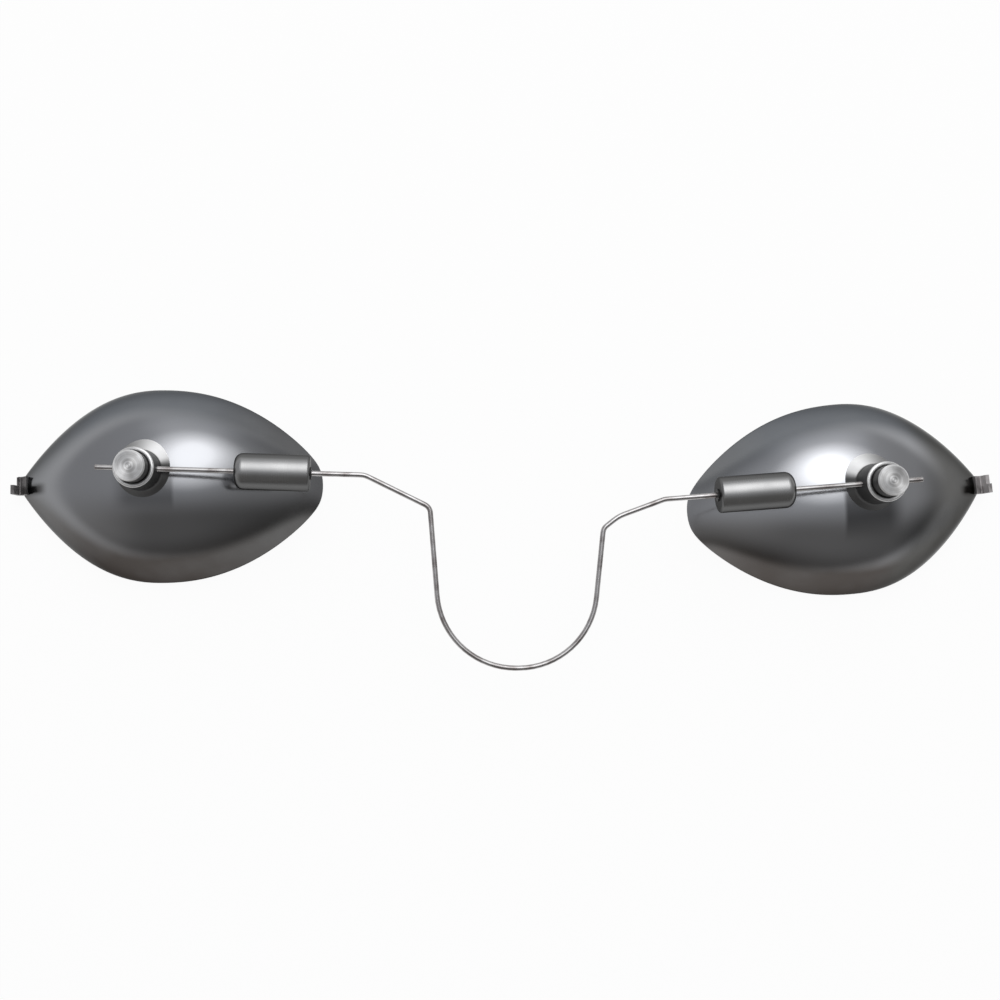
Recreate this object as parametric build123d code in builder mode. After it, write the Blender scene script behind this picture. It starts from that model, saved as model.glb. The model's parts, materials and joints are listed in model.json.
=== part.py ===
from build123d import *
from math import atan2, cos, degrees, pi, radians, sin, sqrt, tan
import os

# A pair of metal eye shields for laser and light treatment: two almond-shaped domed cups that cover the
# closed eyes, joined over the nose by a bent spring wire. On each cup the wire runs through a soldered
# guide barrel with a friction sleeve, then through a sprung push-button lock, so that pressing the button
# frees the cup to slide along the wire and to turn about it.
#
# Frame: millimetres, +Z up. The cups stand on their rims at Z = 0 with the domes up, +X runs from the
# left cup to the right cup as seen from above, and +Y points to the brows. The origin is the middle of
# the whole part on the plane that the rims stand on.

os.makedirs("parts", exist_ok=True)

# Where each side stands: the foot of its lock post, and the turn of its wire and of its cup seen from
# above, rising outward to the brow. The two sides were laid down a little askew, as the wire allows, and
# the posts were soldered on by eye, so each cup has its own small turn too.
nose_space = 60.0  # between the cups' nose tips
left_post_y = 8.16
right_post_y = 6.26
left_skew = 1.1
right_skew = 4.2
left_cup_skew = -0.3
right_cup_skew = 5.8

# Cup: a drawn dome. Every cross section is an arc of a circle on a base plane a little under the rim.
# The crest falls along a parabola. The outline's two sides run to a point past each end: far past the
# nose end, which is blunt, and just past the temple end, which is sharp.
cup_wall = 0.8
cup_height = 11.0
base_drop = 0.4  # the base plane of the sections lies this far under the rim
base_half_width = 16.25
nose_reach = 27.3  # from the widest section to the nose end, on the base plane
temple_reach = 23.9
nose_blunt = 2.7  # from the nose end to the point where the outline's two sides would meet
temple_blunt = 0.1
outline_power = 2.2
crest_power = 2
end_wall = 1.3  # the wall as measured along the cup at its ends is this many times its thickness
rim_round = 0.22
station_shares = (0.0, 0.4, 0.7, 0.89, 0.985)

# Wire
wire_d = 0.8
wire_offset = 1.3  # the wire lies this far to the brow side of the cup's own axis
wire_drop = 2.35  # how far the straight runs sink from the post to the nose bends
wire_tail = 6.1  # past the post
tip_round = 0.15
left_lead = 7.4  # from the cup's nose tip to the first nose bend, seen from above
right_lead = 6.2
wire_fit = 0.05  # running clearance round the wire

# Nose bridge, seen from above: the bends of the wire from the left run to the right run, with radii
left_shoulder = (-12.5, 2.55)
left_sole = (-10.5, -22.17)
right_sole = (12.0, -22.17)
right_shoulder = (14.3, -0.7)
right_slope = (16.65, 1.16)
run_bend = 3.0
shoulder_bend = 1.5
sole_bend = 12.1
slope_bend = 6.0

# Guide barrel and its friction sleeve
barrel_d = 5.6
barrel_length = 11.4
left_barrel_inset = 0.8  # its nose end stands this far short of the cup's nose tip
right_barrel_inset = 1.9
barrel_round = 1.3
barrel_edge = 0.4
barrel_end_wall = 1.0
sleeve_d = 1.9
sleeve_fit = 0.05
sleeve_proud = 0.2
sleeve_end_gap = 0.05

# Saddle: the soldered web that carries the barrel on the sloping dome
saddle_width = 2.2
saddle_inset = 0.8  # from the barrel's temple end
saddle_length = 6.6  # along the barrel
saddle_rake = 2.6  # how much shorter the foot is than the top

# Lock housing
housing_d = 6.2
housing_bore = 4.8
housing_over_wire = 1.7  # from the wire's axis to the rim
housing_round = 0.3
floor_rise = 0.1  # the floor's face over the crown of the cup
solder_rise = 0.75  # the solder round its foot climbs this far over the crown and spreads as it drops
solder_blend = 0.9  # radius between the solder and the tube

# Push button and spring
button_fit = 0.05
button_proud = 2.0
button_travel = 0.7
button_edge = 0.2
button_under_slot = 0.9
spring_space = 1.55  # between the floor and the button
spring_wire = 0.2
spring_d = 3.4
spring_quarters = 9  # quarter turns

# Strap hook: a bent strip whose foot lies on the cup's temple end and whose lip stands up there
hook_thickness = 0.6
hook_out = 0.15  # from the cup's tip to the lip's outer face
hook_foot = 0.25  # height of its underside over the rim plane
hook_height = 3.1
left_hook_step = 2.3  # the brow half of the lip ends this much lower
right_hook_step = 0.5
hook_width = 3.0
hook_lap = 2.3  # how far the strip laps onto the cup
hook_bend = 0.25  # inside radius

overrun = 1.0

# Where the crest meets the rim plane, as a share of the reach, and so the cup's two tips from the post
tip_share = (1 - base_drop / (cup_height + base_drop)) ** (1 / crest_power)
nose_tip = nose_reach * tip_share
temple_tip = temple_reach * tip_share

# From above: the posts from the middle, the barrel from the post, the runs from the post to the bends
post_spread = nose_space / 2 + nose_tip
left_start = nose_tip - left_barrel_inset - barrel_length
right_start = nose_tip - right_barrel_inset - barrel_length
left_run = nose_tip + left_lead
right_run = nose_tip + right_lead

# From the crown up: floor, spring, button, wire, rim
housing_floor = cup_height + floor_rise
button_foot = housing_floor + spring_space
wire_height = button_foot + button_under_slot + wire_fit + wire_d / 2
housing_top = wire_height + housing_over_wire

# Each side: its name, +1 for outward to the right and -1 for outward to the left, its post, the skews of
# its wire and its cup, the start of its barrel, its run of wire and the step of its hook
sides = (
    ("left", -1, left_post_y, left_skew, left_cup_skew, left_start, left_run, left_hook_step),
    ("right", 1, right_post_y, right_skew, right_cup_skew, right_start, right_run, right_hook_step),
)


def outward(out, skew):
    # the direction away from the nose, seen from above
    return Vector(out * cos(radians(skew)), sin(radians(skew)), 0)


def place(out, post_y, skew, x, y, z):
    # a point from its place beside the post: x outward, y to the brow, z up
    along = outward(out, skew)
    brow = Vector(-out * sin(radians(skew)), cos(radians(skew)), 0)
    return Vector(out * post_spread, post_y, 0) + along * x + brow * y + Vector(0, 0, z)


def half_width(x, trim):
    # half the width of the base outline at a distance from the widest section
    point = nose_reach + nose_blunt if x < 0 else temple_reach + temple_blunt
    taper = (abs(x) / (point - trim * end_wall)) ** outline_power
    return (base_half_width - trim) * (1 - taper)


def dome_stations(trim):
    # where the cross sections stand, from the nose end to the temple end
    nose = [-share * (nose_reach - trim * end_wall) for share in reversed(station_shares)]
    temple = [share * (temple_reach - trim * end_wall) for share in station_shares[1:]]
    return nose + temple


def crest(x, trim):
    # height of the section's top over the base plane
    reach = (nose_reach if x < 0 else temple_reach) - trim * end_wall
    return (cup_height + base_drop - trim) * (1 - (abs(x) / reach) ** crest_power)


def dome_at(x, y):
    # height of the dome over the rim plane, with y counted from the cup's own axis
    b, rise = half_width(x, 0), crest(x, 0)
    radius = (b**2 + rise**2) / (2 * rise)
    return rise - radius + sqrt(radius**2 - y**2) - base_drop


def biarc(start, leave, end, arrive):
    # two arcs that meet smoothly, from start in the direction leave to end in the direction arrive
    chord = end - start
    both = leave + arrive
    spread = 2 * (1 - leave.dot(arrive))
    step = (sqrt(chord.dot(both) ** 2 + spread * chord.dot(chord)) - chord.dot(both)) / spread
    near = start + leave * step
    far = end - arrive * step
    joint = (near + far) / 2
    TangentArc(start, joint, tangent=leave)
    TangentArc(joint, end, tangent=far - near)


ends = {}
for side, out, post_y, skew, cup_skew, barrel_start, run, hook_step in sides:
    slope = degrees(atan2(wire_drop, run))
    along = outward(out, skew)
    across = Vector(0, 0, 1).cross(along)
    axis = along * cos(radians(slope)) + Vector(0, 0, 1) * sin(radians(slope))

    def on_wire(distance):
        # a plane square to the wire, at a distance outward from the post along the wire
        origin = place(out, post_y, skew, 0, 0, wire_height) + axis * distance
        return Plane(origin=origin, x_dir=across, z_dir=axis)

    post = place(out, post_y, skew, 0, 0, 0)
    cup_along = outward(out, cup_skew)
    cup_across = Vector(0, 0, 1).cross(cup_along)

    # The dome as one solid form, which the pieces on it are coped to
    with BuildPart() as dome:
        for x in dome_stations(0):
            origin = place(out, post_y, cup_skew, x, -wire_offset, -base_drop)
            b = half_width(x, 0)
            with BuildSketch(Plane(origin=origin, x_dir=cup_across, z_dir=cup_along)):
                with BuildLine():
                    Line((-b, 0), (b, 0))
                    ThreePointArc((b, 0), (0, crest(x, 0)), (-b, 0))
                make_face()
        loft()
        split(bisect_by=Plane.XY, keep=Keep.TOP)

    # Cup: the dome with its inside drawn out to an even wall
    with BuildPart() as cup:
        add(dome.part)
        for x in dome_stations(cup_wall):
            origin = place(out, post_y, cup_skew, x, -wire_offset, -base_drop)
            b = half_width(x, cup_wall)
            with BuildSketch(Plane(origin=origin, x_dir=cup_across, z_dir=cup_along)):
                with BuildLine():
                    Line((-b, 0), (b, 0))
                    ThreePointArc((b, 0), (0, crest(x, cup_wall)), (-b, 0))
                make_face()
        loft(mode=Mode.SUBTRACT)
        fillet(cup.faces().sort_by(Axis.Z)[0].edges(), rim_round)
    cup.part.label = side + "_cup"
    export_step(cup.part, "parts/" + side + "_cup.step")

    # Guide barrel: a turned tube on the wire's line, round at the temple end, with a small edge at the nose
    with BuildPart() as barrel:
        with BuildSketch(on_wire(-barrel_start)):
            Circle(barrel_d / 2)
        extrude(amount=-barrel_length)
        rings = barrel.edges().filter_by(GeomType.CIRCLE).sort_by(SortBy.DISTANCE, False)
        outer = sorted(rings, key=lambda e: (e.arc_center - post).length)
        fillet(outer[0], barrel_round)
        fillet(outer[-1], barrel_edge)
        with BuildSketch(on_wire(-barrel_start)):
            Circle(wire_d / 2 + wire_fit)
        extrude(amount=-barrel_length, mode=Mode.SUBTRACT)
        with BuildSketch(on_wire(-barrel_start - barrel_end_wall)):
            Circle(sleeve_d / 2 + sleeve_fit)
        extrude(amount=-barrel_length, mode=Mode.SUBTRACT)
    barrel.part.label = side + "_guide_barrel"
    export_step(barrel.part, "parts/" + side + "_guide_barrel.step")

    # Friction sleeve: the dark lining that grips the wire and shows as a ring at the nose end
    sleeve_length = barrel_length - barrel_end_wall - sleeve_end_gap + sleeve_proud
    with BuildPart() as sleeve:
        with BuildSketch(on_wire(-barrel_start - barrel_end_wall - sleeve_end_gap)):
            Circle(sleeve_d / 2)
            Circle(wire_d / 2 + wire_fit, mode=Mode.SUBTRACT)
        extrude(amount=-sleeve_length)
    sleeve.part.label = side + "_friction_sleeve"
    export_step(sleeve.part, "parts/" + side + "_friction_sleeve.step")

    # Saddle: a web under the barrel, coped to the barrel above and to the dome below
    far = barrel_start + saddle_inset + saddle_length
    near = barrel_start + saddle_inset
    web_top = wire_height - near * tan(radians(slope))
    web_end = wire_height - far * tan(radians(slope))
    with BuildPart() as saddle:
        with BuildSketch(Plane(origin=post, x_dir=along, z_dir=-across)):
            with BuildLine():
                Polyline(
                    (-near, 0),
                    (-near, web_top),
                    (-far, web_end),
                    (-far + saddle_rake, 0),
                    close=True,
                )
            make_face()
        extrude(amount=saddle_width / 2, both=True)
        with BuildSketch(on_wire(0)):
            Circle(barrel_d / 2)
        extrude(amount=-barrel_start - barrel_length - overrun, mode=Mode.SUBTRACT)
        add(dome.part, mode=Mode.SUBTRACT)
    saddle.part.label = side + "_barrel_saddle"
    export_step(saddle.part, "parts/" + side + "_barrel_saddle.step")

    # Lock housing: an upright tube with a floor, coped to the dome and soldered round its foot, cross-drilled
    with BuildPart() as housing:
        foot = dome_at(0, wire_offset + housing_d / 2) - overrun
        with BuildSketch(Plane(origin=post + Vector(0, 0, foot))):
            Circle(housing_d / 2)
        extrude(amount=housing_top - foot)
        solder_top = cup_height + solder_rise
        with BuildSketch(Plane(origin=post + Vector(0, 0, foot))):
            Circle(housing_d / 2 + solder_top - foot)
        with BuildSketch(Plane(origin=post + Vector(0, 0, solder_top))):
            Circle(housing_d / 2)
        loft()
        rings = housing.edges().filter_by(GeomType.CIRCLE)
        fillet(rings.filter_by_position(Axis.Z, foot + overrun, housing_top, (False, False)), solder_blend)
        with BuildSketch(Plane(origin=post + Vector(0, 0, housing_top))):
            Circle(housing_bore / 2)
        extrude(amount=housing_floor - housing_top, mode=Mode.SUBTRACT)
        fillet(housing.faces().sort_by(Axis.Z)[-1].edges(), housing_round)
        with BuildSketch(on_wire(0)):
            Circle(wire_d / 2 + wire_fit)
        extrude(amount=housing_d, both=True, mode=Mode.SUBTRACT)
        add(dome.part, mode=Mode.SUBTRACT)
    housing.part.label = side + "_lock_housing"
    export_step(housing.part, "parts/" + side + "_lock_housing.step")

    # Push button: a plunger with a slot across it, long enough for the wire over its whole travel
    button_d = housing_bore - 2 * button_fit
    with BuildPart() as button:
        with BuildSketch(Plane(origin=post + Vector(0, 0, button_foot))):
            Circle(button_d / 2)
        extrude(amount=housing_top + button_proud - button_foot)
        chamfer(button.faces().sort_by(Axis.Z)[-1].edges(), button_edge)
        chamfer(button.faces().sort_by(Axis.Z)[0].edges(), button_edge)
        with BuildSketch(on_wire(0)):
            with Locations((0, button_travel / 2)):
                slot_width = wire_d + 2 * wire_fit
                SlotOverall(slot_width + button_travel, slot_width, rotation=90)
        extrude(amount=housing_d, both=True, mode=Mode.SUBTRACT)
    button.part.label = side + "_push_button"
    export_step(button.part, "parts/" + side + "_push_button.step")

    # Lock spring: a short helical spring between the housing floor and the button, each quarter turn
    # a pair of arcs
    spring_r = (spring_d - spring_wire) / 2
    quarter_rise = (spring_space - spring_wire) / spring_quarters
    knots = []
    for quarter in range(spring_quarters + 1):
        around = Vector(cos(quarter * pi / 2), sin(quarter * pi / 2), 0)
        ahead = Vector(-around.Y, around.X, 0) * (spring_r * pi / 2)
        height = housing_floor + spring_wire / 2 + quarter * quarter_rise
        heading = (ahead + Vector(0, 0, quarter_rise)).normalized()
        knots.append((post + around * spring_r + Vector(0, 0, height), heading))
    with BuildPart() as spring:
        with BuildLine() as coil:
            for (start, leave), (end, arrive) in zip(knots, knots[1:]):
                biarc(start, leave, end, arrive)
        with BuildSketch(Plane(origin=coil.line @ 0, z_dir=coil.line % 0)):
            Circle(spring_wire / 2)
        sweep(path=coil.line)
    spring.part.label = side + "_lock_spring"
    export_step(spring.part, "parts/" + side + "_lock_spring.step")

    # Strap hook: a bent strip coped to the cup, its foot on the slope of the dome and its lip upright
    hook_base = place(out, post_y, cup_skew, 0, -wire_offset, 0)
    lip_face = temple_tip + hook_out
    lip_back = lip_face - hook_thickness
    heel = lip_face - hook_lap
    crook = dome_at(lip_back, 0) + hook_thickness
    with BuildPart() as hook:
        with BuildSketch(Plane(origin=hook_base, x_dir=cup_along, z_dir=-cup_across)) as strip:
            with BuildLine():
                Polyline(
                    (heel, hook_foot),
                    (lip_face, hook_foot),
                    (lip_face, hook_height),
                    (lip_back, hook_height),
                    (lip_back, crook),
                    (heel, dome_at(heel, 0) + hook_thickness),
                    close=True,
                )
            make_face()
            fillet(strip.vertices().sort_by_distance((lip_back, crook))[0], hook_bend)
        extrude(amount=hook_width / 2, both=True)
        with BuildSketch(Plane(origin=hook_base + Vector(0, 0, hook_height), x_dir=cup_along)):
            with Locations((lip_face, out * hook_width / 4)):
                Rectangle(2 * hook_thickness, hook_width / 2)
        extrude(amount=-hook_step, mode=Mode.SUBTRACT)
        add(dome.part, mode=Mode.SUBTRACT)
    hook.part.label = side + "_strap_hook"
    export_step(hook.part, "parts/" + side + "_strap_hook.step")

    # The wire's own ends on this side: its tail and its first nose bend
    tail = place(out, post_y, skew, 0, 0, wire_height) + axis * wire_tail
    bend = place(out, post_y, skew, -run, 0, wire_height - wire_drop)
    ends[side] = (tail, bend)

# Bridge wire: one piece of spring wire from tail to tail, level over the nose
level = wire_height - wire_drop
bends = [Vector(x, y, level) for x, y in (left_shoulder, left_sole, right_sole, right_shoulder, right_slope)]
route = [ends["left"][0], ends["left"][1], *bends, ends["right"][1], ends["right"][0]]
radii = [run_bend, shoulder_bend, sole_bend, sole_bend, shoulder_bend, slope_bend, run_bend]
with BuildPart() as bridge:
    with BuildLine() as path:
        FilletPolyline(*route, radius=radii)
    with BuildSketch(Plane(origin=path.line @ 0, z_dir=path.line % 0)):
        Circle(wire_d / 2)
    sweep(path=path.line)
    tips = bridge.faces().filter_by(GeomType.PLANE)
    fillet(tips.edges(), tip_round)
bridge.part.label = "bridge_wire"
export_step(bridge.part, "parts/bridge_wire.step")
length = sum(edge.length for edge in path.line.edges())
print("wire length", length, "volume", bridge.part.volume, "of", length * pi * (wire_d / 2) ** 2)
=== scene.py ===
# %% [markdown]
# # A pair of metal eye shields
# Two almond-shaped domed cups of sheet steel cover the closed eyes during light treatment. A bent spring
# wire joins them over the nose. On each cup it runs through a guide barrel and a push-button lock.
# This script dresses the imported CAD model: it gives every piece its final surface, and adds the floor,
# the light and the camera. It is read from top to bottom, a cell at a time.

import json
from math import atan2, cos, degrees, pi, radians, sin

import bmesh
import bpy
from mathutils import Matrix, Vector


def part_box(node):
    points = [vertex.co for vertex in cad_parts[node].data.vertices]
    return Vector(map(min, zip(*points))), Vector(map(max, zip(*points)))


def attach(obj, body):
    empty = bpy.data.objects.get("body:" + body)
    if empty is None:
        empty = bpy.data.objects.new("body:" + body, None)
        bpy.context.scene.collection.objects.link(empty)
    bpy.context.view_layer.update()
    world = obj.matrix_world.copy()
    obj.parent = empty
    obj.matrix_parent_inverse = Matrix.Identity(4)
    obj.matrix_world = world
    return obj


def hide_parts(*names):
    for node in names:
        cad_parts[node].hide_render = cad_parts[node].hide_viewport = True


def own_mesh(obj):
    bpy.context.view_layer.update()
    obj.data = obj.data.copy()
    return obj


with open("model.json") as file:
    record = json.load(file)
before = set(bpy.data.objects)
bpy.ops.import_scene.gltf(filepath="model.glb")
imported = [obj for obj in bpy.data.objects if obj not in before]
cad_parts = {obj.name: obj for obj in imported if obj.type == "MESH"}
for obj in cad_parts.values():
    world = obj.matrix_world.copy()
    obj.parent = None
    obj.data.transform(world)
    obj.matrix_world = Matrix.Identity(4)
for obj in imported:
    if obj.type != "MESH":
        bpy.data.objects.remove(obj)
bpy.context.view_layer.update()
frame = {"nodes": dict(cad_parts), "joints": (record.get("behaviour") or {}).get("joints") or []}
mm = 0.001
print("pieces in the packed model:", len(frame["nodes"]))

# %% [markdown]
# ## Sums with sockets
# A material or a geometry tree is a set of nodes joined by links, and a formula in it takes one Math node
# for each sign. Made by hand, that is slow to write and hard to read. So one small class wraps an output
# socket and overloads the signs: `1 - mask * 0.5` then adds the Math nodes by itself. The Math node is the
# same in shader trees and in geometry trees, so the class serves both.


# %% Sums with sockets
class Signal:
    """An output socket that can be added, multiplied and so on like a number."""

    def __init__(self, graph, socket):
        self.graph, self.socket = graph, socket

    def out(self, name):
        return Signal(self.graph, self.socket.node.outputs[name])

    def __add__(self, other):
        return self.graph.math("ADD", self, other)

    def __radd__(self, other):
        return self.graph.math("ADD", other, self)

    def __sub__(self, other):
        return self.graph.math("SUBTRACT", self, other)

    def __rsub__(self, other):
        return self.graph.math("SUBTRACT", other, self)

    def __mul__(self, other):
        return self.graph.math("MULTIPLY", self, other)

    def __rmul__(self, other):
        return self.graph.math("MULTIPLY", other, self)

    def __truediv__(self, other):
        return self.graph.math("DIVIDE", self, other)

    def __rtruediv__(self, other):
        return self.graph.math("DIVIDE", other, self)

    def __pow__(self, other):
        return self.graph.math("POWER", self, other)

    def __abs__(self):
        return self.graph.math("ABSOLUTE", self)


class Graph:
    """A node tree, with one method for its sums and one for every other node."""

    def __init__(self, tree):
        self.tree = tree

    def node(self, kind, settings=None, inputs=None, out=0):
        made = self.tree.nodes.new(kind)
        for name, value in (settings or {}).items():
            setattr(made, name, value)
        for name, value in (inputs or {}).items():
            if isinstance(value, Signal):
                self.tree.links.new(value.socket, made.inputs[name])
            else:
                made.inputs[name].default_value = value
        return Signal(self, made.outputs[out]) if made.outputs else made

    def math(self, operation, *values):
        return self.node("ShaderNodeMath", {"operation": operation}, dict(enumerate(values)))

    def smooth(self, value, low, high):
        # 0 below low, 1 above high, and a soft step between
        settings = {"interpolation_type": "SMOOTHSTEP"}
        return self.node("ShaderNodeMapRange", settings, {0: value, 1: low, 2: high})


# %% [markdown]
# ## Where each side stands
# The two sides are the same pieces, laid down a little askew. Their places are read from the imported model:
# the push button stands on the crown of its cup, and the axis of the turning joint is the wire's own line.
# Only the cups' own small turns on the table are given here, because no joint or box holds them.

# %% Where each side stands
joints = {joint["name"]: joint for joint in frame["joints"]}
left_cup_skew, right_cup_skew = radians(-0.3), radians(5.8)


class Side:
    def __init__(self, name, out, cup_skew):
        # out is the way to the temple along X
        self.name, self.out, self.cup_skew = name, out, cup_skew
        low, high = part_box(name + "_push_button")
        self.post = Vector(((low.x + high.x) / 2, (low.y + high.y) / 2, 0))
        self.wire_point = Vector(joints[name + "_turn"]["pos_m"])
        self.wire_axis = Vector(joints[name + "_turn"]["axis"]).normalized()

    def cup_place(self, offset):
        # the middle of the cup on the floor, which lies an offset to the chin side of the post
        return self.post - Vector((-self.out * sin(self.cup_skew), cos(self.cup_skew), 0)) * offset

    def cup_turn(self):
        return self.cup_skew if self.out > 0 else pi - self.cup_skew


sides = [Side("left", -1, left_cup_skew), Side("right", 1, right_cup_skew)]
for side in sides:
    wire_skew = degrees(atan2(side.wire_axis.y, abs(side.wire_axis.x)))
    print(side.name, "post at mm", [round(v / mm, 2) for v in side.post], "wire skew", round(wire_skew, 2))

# %% [markdown]
# ## What all the finishes share
# Every finish here is one shader with a few varying inputs: its colour, its roughness and a fine bump. All
# patterns read Object coordinates. A Mapping node of the Texture kind undoes a place and a turn, so that a
# pattern can be written as if its piece lay straight at the origin. A colour is three numbers, or a link.


# %% Helpers for finishes
def new_finish(name):
    material = bpy.data.materials.new(name)
    material.use_nodes = True
    material.node_tree.nodes.clear()
    return material, Graph(material.node_tree)


def parts_of(graph, vector):
    parts = graph.node("ShaderNodeSeparateXYZ", None, {0: vector})
    return parts.out("X"), parts.out("Y"), parts.out("Z")


def counted_from(graph, place, turn=(0, 0, 0)):
    # Object coordinates counted from a place and along turned axes
    here = graph.node("ShaderNodeTexCoord", out="Object")
    inputs = {"Vector": here, "Location": tuple(place), "Rotation": tuple(turn)}
    return graph.node("ShaderNodeMapping", {"vector_type": "TEXTURE"}, inputs)


def grey(tone):
    return (tone, tone, tone)


def colour(value):
    return value if isinstance(value, Signal) else (*value, 1)


def mixed(graph, factor, first, second):
    inputs = {0: factor, 6: colour(first), 7: colour(second)}
    return graph.node("ShaderNodeMix", {"data_type": "RGBA"}, inputs, out=2)


def clouds(graph, where, scale, detail=3.0):
    return graph.node("ShaderNodeTexNoise", None, {"Vector": where, "Scale": scale, "Detail": detail})


def lines(graph, along, scale, detail=3.0):
    # noise that changes along one direction only, such as turning marks
    inputs = {"W": along, "Scale": scale, "Detail": detail}
    return graph.node("ShaderNodeTexNoise", {"noise_dimensions": "1D"}, inputs)


bump_depth = 0.02 * mm


def coat(graph, base, roughness, bump, strength, metallic=1.0, **constant):
    height = {"Height": bump, "Strength": strength, "Distance": bump_depth}
    inputs = {"Base Color": base, "Roughness": roughness, "Metallic": metallic}
    inputs["Normal"] = graph.node("ShaderNodeBump", None, height)
    inputs.update(constant)
    shader = graph.node("ShaderNodeBsdfPrincipled", None, inputs)
    graph.node("ShaderNodeOutputMaterial", None, {"Surface": shader})


# %% [markdown]
# ## Painted reflection that follows the facing
# Polished steel shows what stands round it. The photograph was taken in a real room, and each flank of a
# dome picks up a part of it, darker or lighter than the next. The whole room could be modelled for that.
# Here that reflection is painted into the steel's colour instead: it is darker where its normal leans to the
# chin, to the left or to the right, with soft steps between, which takes a few nodes. It is the surface's own
# normal in Object space, so the painted tones don't change with the camera and turn along with their piece.

# %% Painted reflection that follows the facing
steep_step, chin_step = (0.68, 0.88), (-0.6, 0.2)  # each soft step has a start and an end
left_step, right_step = (0.35, 0.75), (0.1, 0.7)
side_share = 0.8  # how much of the tone comes from the left and right tones there


def facing(graph):
    # the parts of the normal: how far the surface faces right, to the brows and up
    return parts_of(graph, graph.node("ShaderNodeTexCoord", out="Normal"))


def flank_tone(graph, top, brow, chin, left, right):
    # top is for what faces up; the left and right flanks have a brow tone and a chin tone each
    x, y, z = facing(graph)
    steep = 1 - graph.smooth(abs(z), *steep_step)
    to_chin = 1 - graph.smooth(y, *chin_step)
    tone = mixed(graph, to_chin, brow, chin)
    for to_side, pair in ((graph.smooth(0 - x, *left_step), left), (graph.smooth(x, *right_step), right)):
        tone = mixed(graph, to_side * side_share, tone, mixed(graph, to_chin, *pair))
    return mixed(graph, steep, top, tone)


# %% [markdown]
# ## Satin steel for the cups
# The cups are drawn from stainless sheet and polished to a soft shine, in which a window shows as a bright
# patch without a sharp edge. Such a surface is a metal of low roughness. What makes it read as real metal is
# what isn't even: clouds and a fine grain along the cup. Shade is painted into the colour as well: a dark rim,
# and two painted shadows, one on the chin side of the lock post and one that runs in from the strap hook. An
# image of a scratched plate could give the clouds and the grain, but noise needs no file, has no seams and
# keeps its scale on a cup of any size.

# %% The cups' tones
# painted reflection: the steel's tone for what faces up, darker where it faces the brow and darkest to the
# chin; the flank pairs below are painted reflection too
satin = {"top": (0.33, 0.335, 0.35), "brow": (0.165, 0.175, 0.19), "chin": (0.068, 0.061, 0.057)}
left_flank = (grey(0.17), grey(0.28))
right_flank_brow = (0.09, 0.087, 0.085)
# painted shade on the dome's right flank, on its steep and its gentle slope
right_shade_steep, right_shade_gentle = (0.115, 0.113, 0.108), grey(0.065)
# painted shade at the rim; the cloud tone varies at random
rim_shade_tone, cloud_tone = (0.03, 0.028, 0.027), (0.3, 0.31, 0.32)
# the painted shadows of the lock post and of the strap hook
post_shadow_tone, hook_shadow_tone = (0.035, 0.035, 0.036), (0.03, 0.028, 0.026)

# Each cup lies in its own part of the room, so each has its own painted reflection and shade. top and chin are
# factors on the tones above, right_chin is the tone of the right flank's chin side, right_shade_share is the
# share of painted shade on the right flank, post_shadow_share the share of the post's painted shadow, and
# shadow_end is in mm from the post.
cup_looks = {
    "left": {"top": 0.88, "chin": 1.12, "right_chin": 0.13, "right_shade_share": 0.1, "post_shadow_share": 0.5},
    "right": {"top": 1.13, "chin": 1.3, "right_chin": 0.045, "right_shade_share": 0.9, "post_shadow_share": 0.75},
}
shadow_end = {"left": (4.0, 6.5), "right": (4.5, 9.0)}

# %% The dome's painted reflection and shade by its facing
right_shade_chin_step, gentle_step, right_shade_step = (-0.4, 0.0), (0.7, 0.86), (0.25, 0.5)
right_shade_lean = 0.12  # the painted shade on the right reaches this much further in on the chin side
rim_step, rim_share = (0.05, 0.32), 0.8


def dome_tone(graph, look):
    # painted reflection: the tones by facing, with top and chin scaled for the part of the room this cup lies
    # in
    top = [part * look["top"] for part in satin["top"]]
    chin = [part * look["chin"] for part in satin["chin"]]
    right_flank = (right_flank_brow, grey(look["right_chin"]))
    base = flank_tone(graph, top, satin["brow"], chin, left_flank, right_flank)
    # painted shade: a darker stretch where the dome faces right, darker still on its gentle slope to the chin
    x, y, z = facing(graph)
    to_chin = 1 - graph.smooth(y, *right_shade_chin_step)
    gentle = graph.smooth(abs(z), *gentle_step) * to_chin
    right_shade_tone = mixed(graph, gentle, right_shade_steep, right_shade_gentle)
    to_right = graph.smooth(x + right_shade_lean * to_chin, *right_shade_step)
    base = mixed(graph, to_right * look["right_shade_share"], base, right_shade_tone)
    # painted shade: the steep wall near the rim is darker
    rim = 1 - graph.smooth(abs(z), *rim_step)
    return mixed(graph, rim * rim_share, base, rim_shade_tone)


# %% The painted shadows of the post and the hook
# in mm from the post, to the temple and to the chin: each pair is the start and the end of a soft step
shadow_nose_side, shadow_temple_side, shadow_start = (-4.9, -4.1), (2.0, 5.5), (-0.5, 1.5)
hook_shadow_start, hook_shadow_middle, hook_shadow_side = (16.6, 18.8), 2.05, (0.2, 1.3)
hook_shadow_share = 0.75


def add_painted_shadows(graph, base, local, side, look):
    x, y, _ = parts_of(graph, local)
    to_temple, to_chin = x * (side.out / mm), 0 - y / mm
    # painted shadow of the lock post: a darker patch on its chin side
    along = graph.smooth(to_temple, *shadow_nose_side) * (1 - graph.smooth(to_temple, *shadow_temple_side))
    across = graph.smooth(to_chin, *shadow_start) * (1 - graph.smooth(to_chin, *shadow_end[side.name]))
    base = mixed(graph, along * across * look["post_shadow_share"], base, post_shadow_tone)
    # painted shadow of the strap hook: a narrow darker strip that runs in from the temple end
    narrow = 1 - graph.smooth(abs(to_chin - hook_shadow_middle), *hook_shadow_side)
    hook_shadow = graph.smooth(to_temple, *hook_shadow_start) * narrow
    return mixed(graph, hook_shadow * hook_shadow_share, base, hook_shadow_tone)


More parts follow.
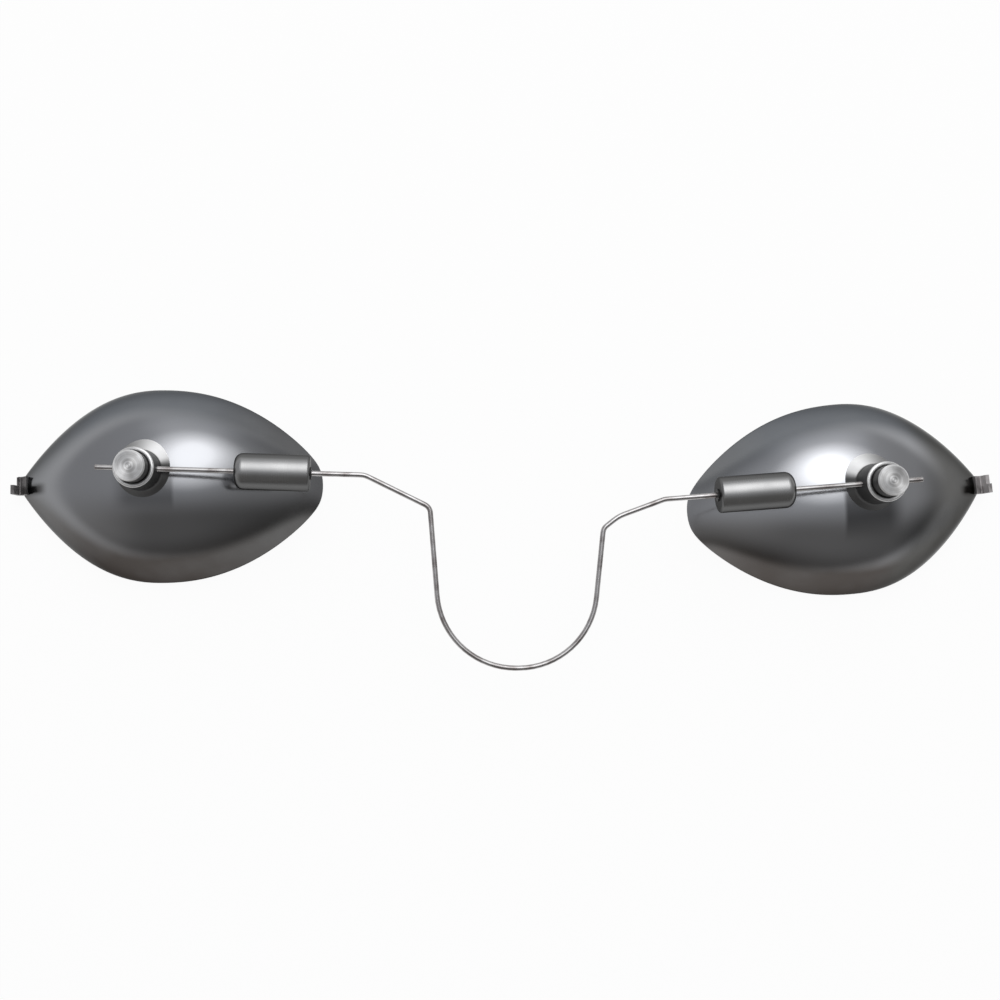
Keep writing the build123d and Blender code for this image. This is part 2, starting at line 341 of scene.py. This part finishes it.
# %% Satin steel for the cups
cloud_scale, grain_scale, grain_stretch = 130.0, 4000.0, (0.05, 1.0, 1.0)
cloud_step, cloud_share = (0.35, 0.75), 0.1
cup_edge = (*grey(0.4), 1)  # a metal's specular tint is its tone at grazing angles


def cup_steel(side):
    look = cup_looks[side.name]
    material, graph = new_finish(side.name + "_satin_steel")
    local = counted_from(graph, side.post, (0, 0, side.out * side.cup_skew))
    cloud = clouds(graph, local, cloud_scale)
    stretched = graph.node("ShaderNodeMapping", None, {"Vector": local, "Scale": grain_stretch})
    grain = clouds(graph, stretched, grain_scale, 2.0)
    base = dome_tone(graph, look)
    base = mixed(graph, graph.smooth(cloud, *cloud_step) * cloud_share, base, cloud_tone)
    base = add_painted_shadows(graph, base, local, side, look)
    roughness = 0.13 + 0.05 * cloud + 0.03 * grain
    coat(graph, base, roughness, grain, strength=0.02, **{"Specular Tint": cup_edge})
    return material


steels = {side.name: cup_steel(side) for side in sides}
print("cup finishes:", [steel.name for steel in steels.values()])

# %% [markdown]
# ## The cups
# Each cup is a drawn dome. Its cross sections are arcs of a circle, its crest falls along a parabola, and
# its outline is two curves that would meet past its ends: far past the nose end, which is blunt, and just
# past the temple end, which is sharp. A shape that follows such a rule is a job for Geometry Nodes: one
# tree holds the rule, and both cups are made from it with their own places. The start is a box of unit size
# whose six sides are divided. Its X runs along the cup, its Y across and its Z through the sheet, and one
# formula bends the box into the cup, wall, rim and all.

# %% The cups' sizes
cup_sizes = {
    "Nose Reach": 27.3 * mm,
    "Temple Reach": 23.9 * mm,
    "Nose Point": 30.0 * mm,
    "Temple Point": 24.0 * mm,
    "Half Width": 16.25 * mm,
    "Outline Power": 2.2,
    "Height": 11.0 * mm,
    "Crest Power": 2.0,
    "Base Drop": 0.4 * mm,
    "Wall": 0.8 * mm,
    "Rim Round": 0.22 * mm,
}
wire_offset = 1.3 * mm  # the post and its wire stand this far to the brow side of the cup's own axis
end_wall = 1.3  # along the cup the wall is this much thicker at its ends
rim_power = 4  # of the rim's section, a rounded square
rows, columns, layers = 141, 97, 11
merge_distance, sliver = 0.001 * mm, 0.000001 * mm


# %% The cups' tree
def cup_tree():
    tree = bpy.data.node_groups.new("drawn cup", "GeometryNodeTree")
    face = tree.interface
    for name in cup_sizes:
        face.new_socket(name, in_out="INPUT", socket_type="NodeSocketFloat")
    face.new_socket("Place", in_out="INPUT", socket_type="NodeSocketVector")
    face.new_socket("Turn", in_out="INPUT", socket_type="NodeSocketFloat")
    face.new_socket("Finish", in_out="INPUT", socket_type="NodeSocketMaterial")
    face.new_socket("Geometry", in_out="OUTPUT", socket_type="NodeSocketGeometry")
    graph = Graph(tree)
    given = graph.node("NodeGroupInput")
    size = {name: given.out(name) for name in cup_sizes}

    counts = {"Size": (2, 2, 1), "Vertices X": rows, "Vertices Y": columns, "Vertices Z": layers}
    box = graph.node("GeometryNodeMeshCube", None, counts)
    along, across, height = parts_of(graph, graph.node("GeometryNodeInputPosition"))
    through = 0.5 - 0.5 * graph.math("COSINE", (height + 0.5) * pi)
    nose = graph.math("LESS_THAN", along, 0.0)
    reach = nose * size["Nose Reach"] + (1 - nose) * size["Temple Reach"]
    point = nose * size["Nose Point"] + (1 - nose) * size["Temple Point"]
    edge = size["Base Drop"] + size["Rim Round"]

    def sheet(trim):
        # a point of the dome that lies a trim under the outer face
        rise = size["Height"] + size["Base Drop"] - trim
        limit = reach - trim * end_wall
        tip = limit * (1 - edge / rise) ** (1 / size["Crest Power"])
        x = graph.math("SINE", along * (pi / 2)) * tip
        crest = rise * (1 - (abs(x) / limit) ** size["Crest Power"])
        taper = (abs(x) / (point - trim * end_wall)) ** size["Outline Power"]
        width = (size["Half Width"] - trim) * (1 - taper)
        radius = (width * width + crest * crest) / (2 * crest)
        centre = crest - radius
        opening = graph.math("ARCCOSINE", graph.math("MINIMUM", (edge - centre) / radius, 1.0))
        angle = across * opening
        y = radius * graph.math("SINE", angle)
        z = centre + radius * graph.math("COSINE", angle) - size["Base Drop"]
        return x, y, z

    outer, inner = sheet(0.0), sheet(size["Wall"])
    x, y, z = (a * (1 - through) + b * through for a, b in zip(outer, inner))
    flat = graph.math("MAXIMUM", 1 - abs(2 * through - 1) ** rim_power, 0.0)
    z = z - size["Rim Round"] * flat ** (1 / rim_power)
    shaped = graph.node("ShaderNodeCombineXYZ", None, {0: x, 1: y, 2: z})
    spin = {"Vector": shaped, "Angle": given.out("Turn")}
    turned = graph.node("ShaderNodeVectorRotate", {"rotation_type": "Z_AXIS"}, spin)
    placed = graph.node("ShaderNodeVectorMath", {"operation": "ADD"}, {0: turned, 1: given.out("Place")})
    bent = graph.node("GeometryNodeSetPosition", None, {"Geometry": box, "Position": placed})
    joined = {"Geometry": bent, "Distance": merge_distance}
    closed = graph.node("GeometryNodeMergeByDistance", None, joined)
    smooth = graph.node("GeometryNodeSetShadeSmooth", None, {"Geometry": closed})
    real = graph.node("GeometryNodeRealizeInstances", None, {"Geometry": smooth})
    finish = {"Geometry": real, "Material": given.out("Finish")}
    done = graph.node("GeometryNodeSetMaterial", None, finish)
    graph.node("NodeGroupOutput", None, {"Geometry": done})
    return tree


drawn_cup = cup_tree()
print("nodes in the cups' tree:", len(drawn_cup.nodes))

# %% [markdown]
# ## From a tree to a plain piece
# A modifier runs the tree on an empty mesh. Its inputs are set by each socket's identifier, and the result
# is then read as a plain mesh, so that nothing of the modifier is left on the piece. Merging the box's ends
# into the cup's two tips can leave the faces turned either way, so the normals are worked out anew.


# %% From a tree to a plain piece
def grow(name, tree, **values):
    seed = bpy.data.objects.new(name, bpy.data.meshes.new(name))
    bpy.context.collection.objects.link(seed)
    modifier = seed.modifiers.new("grow", "NODES")
    modifier.node_group = tree
    for item in tree.interface.items_tree:
        if item.in_out == "INPUT" and item.name in values:
            modifier[item.identifier] = values[item.name]
    bpy.context.view_layer.update()
    result = bpy.data.meshes.new_from_object(seed.evaluated_get(bpy.context.evaluated_depsgraph_get()))
    seed.modifiers.clear()
    seed.data = result
    work = bmesh.new()
    work.from_mesh(result)
    bmesh.ops.dissolve_degenerate(work, dist=sliver, edges=work.edges)
    bmesh.ops.recalc_face_normals(work, faces=work.faces)
    work.to_mesh(result)
    work.free()
    return seed


for side in sides:
    place, turn = side.cup_place(wire_offset), side.cup_turn()
    values = dict(cup_sizes, Place=tuple(place), Turn=turn, Finish=steels[side.name])
    cup = grow(side.name + "_drawn_cup", drawn_cup, **values)
    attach(cup, side.name + "_shield")
    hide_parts(side.name + "_cup")
    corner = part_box(side.name + "_cup")[1]
    points = [vertex.co for vertex in cup.data.vertices]
    gap = max(abs(max(point[i] for point in points) - corner[i]) for i in range(3))
    print(cup.name, "faces", len(cup.data.polygons), "differs from the CAD box by mm", round(gap / mm, 3))

# %% [markdown]
# ## Turned steel
# Barrel, housing and button come off a lathe, and a lathe leaves fine rings. On the side of a cylinder they
# run round it, so the noise changes along the axis only. On an end face they are circles, so there the noise
# changes with the distance from the axis. The button's end face has the boldest ones, with dull marks among
# them. Light and shade are painted in too: the barrel's tones follow its facing like the cups', with painted
# light underneath; the walls of the posts are painted dark and their ends painted bright, and the solder foot
# of a housing has a painted highlight on its slope to the brow and the nose, where it faces the window.

# %% The barrels' steel
# painted reflection by facing: lighter on top, darker on the flanks; under is painted light from the cup below;
# the stain tone varies at random
barrel_tones = {"top": grey(0.31), "flank": grey(0.14), "side": grey(0.12), "under": grey(0.6)}
barrel_stain, barrel_edge = grey(0.16), (*grey(0.35), 1)
ring_scale, stain_scale = 9000.0, 300.0
under_step, post_end_step = (-0.5, -0.05), (0.85, 0.95)
stain_step, stain_share = (0.3, 0.8), 0.25


def barrel_steel(side):
    material, graph = new_finish(side.name + "_turned_barrel")
    across = Vector((0, 0, 1)).cross(side.wire_axis).normalized()
    axes = Matrix((side.wire_axis, across, side.wire_axis.cross(across))).transposed()
    local = counted_from(graph, side.wire_point, axes.to_euler())
    rings = lines(graph, parts_of(graph, local)[0], ring_scale)
    cloud = clouds(graph, local, stain_scale)
    # painted reflection: the barrel's tones by facing
    flank, pair = barrel_tones["flank"], (barrel_tones["side"], barrel_tones["side"])
    base = flank_tone(graph, barrel_tones["top"], flank, flank, pair, pair)
    # painted light: the underside and the end face at the post are lighter, for the light that the cup throws
    # back
    x, _, z = facing(graph)
    under = 1 - graph.smooth(z, *under_step)
    post_end = graph.smooth(x * side.out, *post_end_step)
    base = mixed(graph, graph.math("MAXIMUM", under, post_end), base, barrel_tones["under"])
    base = mixed(graph, graph.smooth(cloud, *stain_step) * stain_share, base, barrel_stain)
    roughness = 0.22 + 0.08 * rings + 0.06 * cloud
    coat(graph, base, roughness, rings, strength=0.06, **{"Specular Tint": barrel_edge})
    return material


# %% The posts' steel
# painted light and shade: end_tone for the bright ends of the posts, wall_tones for their dark walls,
# foot_tones for the painted highlight on the housing's solder foot; mark_tone is for the dull turning marks
end_tone, mark_tone = grey(0.66), (0.2, 0.19, 0.18)
wall_tones = {"lock_housing": grey(0.09), "push_button": grey(0.1)}
mark_shares = {"lock_housing": 0.2, "push_button": 0.5}
foot_tones = {"left": 0.85, "right": 0.8}
foot_brow_share = 0.35  # of the foot's tone on its slope away from the nose
brow_step, nose_step, slope_step = (-0.1, 0.2), (-0.4, 0.4), (0.3, 0.6)
temple_lean = 0.35  # the bright slope ends this much further to the temple
end_depth, end_soft, end_step = 0.5 * mm, 0.3 * mm, (0.2, 0.5)
turn_scale, mark_scale, mark_step = 2600.0, 700.0, (0.35, 0.65)
end_slant = 1.7  # on a wall the rings follow the height, this many to one ring of an end face
groove = {"Anisotropic": 0.85, "Anisotropic Rotation": 0.25}


def foot_tone(graph, side, wall):
    # painted highlight on the solder foot: dark as the wall, but bright on its slope to the brow and the nose
    x, y, z = facing(graph)
    to_brow = graph.smooth(y + temple_lean * side.out * x, *brow_step)
    to_nose = graph.smooth(x * -side.out, *nose_step)
    bright = foot_tones[side.name]
    slope = mixed(graph, to_nose, grey(bright * foot_brow_share), grey(bright))
    return mixed(graph, to_brow * graph.smooth(abs(z), *slope_step), wall, slope)


def post_steel(side, node, name):
    material, graph = new_finish(side.name + "_" + name)
    local = counted_from(graph, side.post)
    x, y, z = parts_of(graph, local)
    radius = graph.math("SQRT", x * x + y * y)
    rings = lines(graph, radius + end_slant * z, turn_scale)
    cloud = clouds(graph, local, mark_scale)
    wall = wall_tones[node]
    if node == "lock_housing":
        wall = foot_tone(graph, side, wall)
    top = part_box(side.name + "_" + node)[1].z
    # painted light and shade: what faces up near the top takes the bright end tone, the wall below keeps its
    # dark tone
    end = graph.smooth(z, top - end_depth, top - end_soft) * graph.smooth(abs(facing(graph)[2]), *end_step)
    base = mixed(graph, end, wall, end_tone)
    marks = graph.smooth(cloud * 0.5 + rings * 0.5, *mark_step) * mark_shares[node]
    base = mixed(graph, marks * end, base, mark_tone)
    coat(graph, base, 0.26 + 0.14 * rings, rings, strength=0.6, **groove)
    return material


# %% Dress the turned pieces
def dress(node, material):
    target = frame["nodes"][node]
    target.data.materials.clear()
    target.data.materials.append(material)
    for face in target.data.polygons:
        face.material_index = 0


for side in sides:
    dress(side.name + "_guide_barrel", barrel_steel(side))
    dress(side.name + "_lock_housing", post_steel(side, "lock_housing", "turned_housing"))
    dress(side.name + "_push_button", post_steel(side, "push_button", "turned_button"))
print("turned pieces:", 3 * len(sides))

# %% [markdown]
# ## Wire, hooks, sleeves and solder
# The bridge wire is drawn wire: bright, with small dull stains. The hooks are bent from strip, and duller.
# Their tones hold painted shade, darker on the left hook than on the right one, and painted light on what faces
# down.
# The sleeves are black rubber, the only pieces that aren't metal. Solder is smoother than the hooks and a
# little whiter. All the metals here are one kind of finish with other tones, so one function makes them.

# %% One plain steel for many pieces
stain_soft, under_tone, under_from = (0.4, 0.7), grey(0.8), (-0.2, 0.3)


def plain_steel(name, light, dark, rough, scale, bump=0.1, under=0.0):
    # stains of a dark tone on a light one; under is the share of a painted light tone on what faces down
    material, graph = new_finish(name)
    local = counted_from(graph, (0, 0, 0))
    stain = clouds(graph, local, scale, 5.0)
    fine = clouds(graph, local, scale * 9, 2.0)
    base = mixed(graph, graph.smooth(stain, *stain_soft), light, dark)
    if under:
        # painted light: what faces down is lighter
        down = 1 - graph.smooth(facing(graph)[2], *under_from)
        base = mixed(graph, down * under, base, under_tone)
    coat(graph, base, rough + 0.14 * stain + 0.05 * fine, fine, bump)
    return material


def black_rubber():
    material, graph = new_finish("black_rubber")
    speck = clouds(graph, counted_from(graph, (0, 0, 0)), 5000.0, 2.0)
    base = mixed(graph, speck, (0.012, 0.012, 0.013), (0.035, 0.034, 0.034))
    coat(graph, base, 0.55 + 0.2 * speck, speck, strength=0.3, metallic=0.0)
    return material


# %% Wire, hooks, sleeves and solder
wire_steel = plain_steel("drawn_wire", (0.42, 0.41, 0.41), (0.22, 0.2, 0.195), 0.16, 420.0)
spring_steel = plain_steel("spring_wire", grey(0.5), grey(0.36), 0.2, 900.0)
solder = plain_steel("solder", grey(0.4), (0.28, 0.28, 0.29), 0.26, 800.0, 0.3)
rubber = black_rubber()
strip = {"rough": 0.5, "scale": 700.0, "bump": 0.08}
# painted light and shade: the right hook's tones are lighter than the left one's
left_strip, right_strip = ((0.22, 0.21, 0.21), (0.1, 0.093, 0.093)), ((0.5, 0.48, 0.48), (0.24, 0.225, 0.225))
strip_steels = {
    "left": plain_steel("left_strip_painted_shade", *left_strip, under=0.4, **strip),
    "right": plain_steel("right_strip_painted_light", *right_strip, under=0.8, **strip),
}
dress("bridge_wire", wire_steel)
for side in sides:
    dress(side.name + "_strap_hook", strip_steels[side.name])
    dress(side.name + "_barrel_saddle", solder)
    dress(side.name + "_friction_sleeve", rubber)
print("plain pieces:", 1 + 3 * len(sides))

# %% [markdown]
# ## The lock springs
# Under each button stands a small helical spring. The real one gives way when the button is pressed, but here,
# as in the imported model, it stays rigid. It is wound anew in the imported one's place: a spiral curve, with a
# small circle carried along it. A Geometry Nodes tree does that with few nodes, and leaves the turns and the
# wire free to change.

# %% The springs' tree
spring_sizes = {"Turns": 2.25, "Mean Radius": 1.6 * mm, "Wire Radius": 0.1 * mm, "Rise": 1.35 * mm}
spiral_points, section_points = 40, 12  # a turn of the spiral, and round the wire


def spring_tree():
    tree = bpy.data.node_groups.new("wound spring", "GeometryNodeTree")
    face = tree.interface
    for name in spring_sizes:
        face.new_socket(name, in_out="INPUT", socket_type="NodeSocketFloat")
    face.new_socket("Place", in_out="INPUT", socket_type="NodeSocketVector")
    face.new_socket("Finish", in_out="INPUT", socket_type="NodeSocketMaterial")
    face.new_socket("Geometry", in_out="OUTPUT", socket_type="NodeSocketGeometry")
    graph = Graph(tree)
    given = graph.node("NodeGroupInput")
    winding = {"Resolution": spiral_points, "Rotations": given.out("Turns"), "Height": given.out("Rise")}
    winding.update({"Start Radius": given.out("Mean Radius"), "End Radius": given.out("Mean Radius")})
    spiral = graph.node("GeometryNodeCurveSpiral", None, winding)
    section = {"Resolution": section_points, "Radius": given.out("Wire Radius")}
    circle = graph.node("GeometryNodeCurvePrimitiveCircle", None, section)
    ends = {"Curve": spiral, "Profile Curve": circle, "Fill Caps": True}
    wire = graph.node("GeometryNodeCurveToMesh", None, ends)
    moved = graph.node("GeometryNodeTransform", None, {"Geometry": wire, "Translation": given.out("Place")})
    real = graph.node("GeometryNodeRealizeInstances", None, {"Geometry": moved})
    done = graph.node("GeometryNodeSetMaterial", None, {"Geometry": real, "Material": given.out("Finish")})
    graph.node("NodeGroupOutput", None, {"Geometry": done})
    return tree


# %% The lock springs
wound_spring = spring_tree()
for side in sides:
    low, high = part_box(side.name + "_lock_spring")
    height = high.z - low.z
    floor = side.post + Vector((0, 0, low.z))
    place = floor + Vector((0, 0, spring_sizes["Wire Radius"]))
    values = dict(spring_sizes, Place=tuple(place), Finish=spring_steel)
    spring = grow(side.name + "_wound_spring", wound_spring, **values)
    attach(spring, side.name + "_shield")
    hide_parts(side.name + "_lock_spring")
    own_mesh(spring)

# %% [markdown]
# ## Floor, light and camera
# The shields lie on a white table. The floor gives off its own white to the camera and to reflections, and
# keeps a small share of plain white paint, which takes the soft shadow. The light is a soft window behind
# the brow side, which the domes show as one bright patch each. A single lamp would show there as a disc with
# a hard edge, so six lamps stand one behind the other, each wider and dimmer than the one before. Round the
# domes stands a plain room in a few tones: light at the brow end, with a glow low down straight ahead, and
# dim at the chin end, above all to the east. Near the horizon it is as white as the table.

# %% Floor
table_half, table_paint, white_share = 3.0, 0.97, 0.93


def floor_paint():
    material, graph = new_finish("white_table")
    ray = graph.node("ShaderNodeLightPath")
    seen = graph.math("MAXIMUM", ray.out("Is Camera Ray"), ray.out("Is Glossy Ray"))
    seen = graph.math("MAXIMUM", seen, ray.out("Is Transmission Ray"))
    paint = graph.node("ShaderNodeBsdfDiffuse", None, {"Color": (*grey(table_paint), 1)})
    white = graph.node("ShaderNodeEmission", None, {"Color": (*grey(1), 1), "Strength": 1.0})
    both = graph.node("ShaderNodeMixShader", None, {0: seen * white_share, 1: paint, 2: white})
    graph.node("ShaderNodeOutputMaterial", None, {"Surface": both})
    return material


signs = [(-1, -1), (1, -1), (1, 1), (-1, 1)]
mesh = bpy.data.meshes.new("table")
mesh.from_pydata([(x * table_half, y * table_half, 0) for x, y in signs], [], [(0, 1, 2, 3)])
mesh.materials.append(floor_paint())
table = bpy.data.objects.new("table", mesh)
bpy.context.collection.objects.link(table)
print("table in m:", 2 * table_half)

# %% Room
brow_tones = {"middle": (0.6, 0.61, 0.63), "east": (0.36, 0.355, 0.35), "west": (0.5, 0.5, 0.51)}
chin_tones = {"middle": (0.2, 0.195, 0.19), "east": (0.13, 0.128, 0.125), "west": (0.42, 0.41, 0.4)}
glow_tone, horizon_tone = (0.95, 0.96, 0.98), grey(0.95)
brow_end_step, east_step, west_step = (-0.6, 0.05), (0.1, 0.8), (0.2, 0.9)
glow_middle, glow_side, glow_low, horizon_step = 0.05, (0.1, 0.5), (0.7, 0.92), (0.0, 0.25)
east_share, west_brow_share, west_chin_share = 0.7, 0.7, 0.8

world = bpy.data.worlds.new("room")
bpy.context.scene.world = world
world.use_nodes = True
world.node_tree.nodes.clear()
graph = Graph(world.node_tree)
x, y, z = parts_of(graph, graph.node("ShaderNodeTexCoord", out="Generated"))
east, west = graph.smooth(x, *east_step), graph.smooth(0 - x, *west_step)
glow = graph.smooth(y, *glow_low) * (1 - graph.smooth(abs(x - glow_middle), *glow_side))
brow_end = mixed(graph, east * east_share, brow_tones["middle"], brow_tones["east"])
brow_end = mixed(graph, west * west_brow_share, brow_end, brow_tones["west"])
brow_end = mixed(graph, glow, brow_end, glow_tone)
chin_end = mixed(graph, east * east_share, chin_tones["middle"], chin_tones["east"])
chin_end = mixed(graph, west * west_chin_share, chin_end, chin_tones["west"])
room = mixed(graph, graph.smooth(y, *brow_end_step), chin_end, brow_end)
room = mixed(graph, 1 - graph.smooth(z, *horizon_step), room, horizon_tone)
light = graph.node("ShaderNodeBackground", None, {"Color": room, "Strength": 1.0})
graph.node("ShaderNodeOutputWorld", None, {"Surface": light})
print("nodes in the room:", len(world.node_tree.nodes))

# %% Window
window = Vector((0.057, 0.375, 0.56))
radiances = (0.7, 0.55, 0.45, 0.35, 0.3, 0.25)
first_width, wider, first_height, higher = 0.28, 0.104, 0.4, 0.12
overhang = 0.012  # each pane reaches this much further over the shields than the one before
pane_gap = 0.01  # from pane to pane, as a share of the window's distance
for number, radiance in enumerate(radiances):
    width, height = first_width + wider * number, first_height + higher * number
    lamp = bpy.data.lights.new(f"window_{number}", "AREA")
    lamp.shape = "ELLIPSE"
    lamp.size, lamp.size_y = width, height
    lamp.energy = radiance * pi * pi * width * height / 4
    pane = bpy.data.objects.new(f"window_{number}", lamp)
    over = overhang * number
    pane.location = window * (1 + pane_gap * number) + Vector((0, -over, over / 2))
    pane.rotation_mode = "QUATERNION"
    pane.rotation_quaternion = (-window).to_track_quat("-Z", "Y")
    pane.visible_camera = False
    bpy.context.collection.objects.link(pane)
print("panes:", len(radiances), "the widest in m:", round(width, 2))

# %% [markdown]
# ## Camera
# The photograph looks almost straight down, from above a point between the cups. The focal length and the
# picture's middle are in its pixels, and two small lean angles turn the view off the vertical.

# %% Camera
picture, sensor = 1000, 36.0
focal_pixels, middle = 933.6, (448.6, 545.4)
lean_right, lean_brow = 0.0204, 0.0391
camera_place = (-0.01256, -0.00896, 0.15522)
lens = bpy.data.cameras.new("camera")
lens.sensor_width = sensor
lens.lens = focal_pixels * sensor / picture
lens.shift_x = (picture / 2 - middle[0]) / picture
lens.shift_y = (middle[1] - picture / 2) / picture
lens.clip_start, lens.clip_end = 0.01, 10.0
camera = bpy.data.objects.new("camera", lens)
camera.location = camera_place
gaze = Vector((sin(lean_right), sin(lean_brow), -1.0)).normalized()
right = gaze.cross(Vector((0, 1, 0))).normalized()
camera.rotation_mode = "QUATERNION"
camera.rotation_quaternion = Matrix((right, right.cross(gaze), -gaze)).transposed().to_quaternion()
bpy.context.collection.objects.link(camera)
bpy.context.scene.camera = camera
bpy.context.scene.view_settings.view_transform = "Standard"
print("lens in mm:", round(lens.lens, 2))
